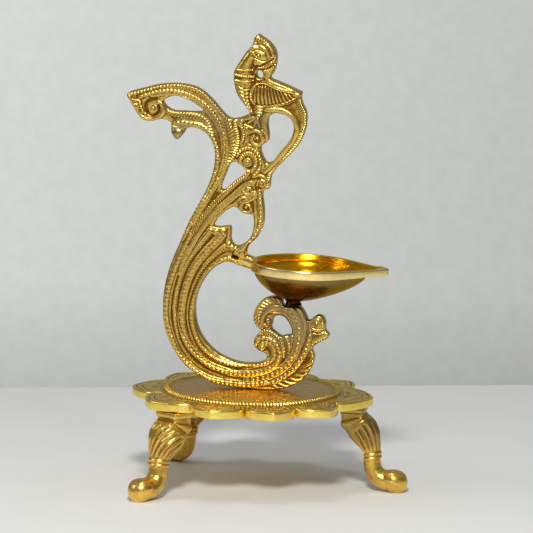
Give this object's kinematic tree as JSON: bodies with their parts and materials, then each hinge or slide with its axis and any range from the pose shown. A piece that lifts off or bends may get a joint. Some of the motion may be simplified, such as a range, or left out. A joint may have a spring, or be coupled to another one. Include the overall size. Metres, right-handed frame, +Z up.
{
  "type": "standing oil lamp",
  "caption": "Cast brass standing oil lamp: a pierced peacock scroll frame on a three-legged petal plate, carrying a shallow oil bowl with a pinched spout.",
  "frame": {"origin": "on the floor, in the middle of the lamp's overall box; the axis of the petal plate is 7.4 mm towards -X", "axes": "+X along the frame towards the spout, +Y towards the back, +Z up"},
  "size_m": [0.1621, 0.139, 0.254],
  "materials": {
    "cast_brass": "as cast, rubbed bright on the high spots",
    "turned_brass": "turned, slightly dulled",
    "leg_brass": "as cast, rubbed",
    "polished_brass": "polished",
    "brazing_metal": "smooth",
    "screw_brass": "plain"
  },
  "bodies": {
    "root": {"base_plate": "turned_brass", "leg_right": "leg_brass", "leg_front_left": "leg_brass", "leg_rear_left": "leg_brass", "leg_screw_right": "screw_brass", "leg_screw_front_left": "screw_brass", "leg_screw_rear_left": "screw_brass", "peacock_frame": "cast_brass", "frame_washer_left": "screw_brass", "frame_washer_right": "screw_brass", "frame_screw_left": "screw_brass", "frame_screw_right": "screw_brass", "oil_bowl": "polished_brass", "bowl_stud": "screw_brass", "rear_braze": "brazing_metal"}
  },
  "joints": []
}
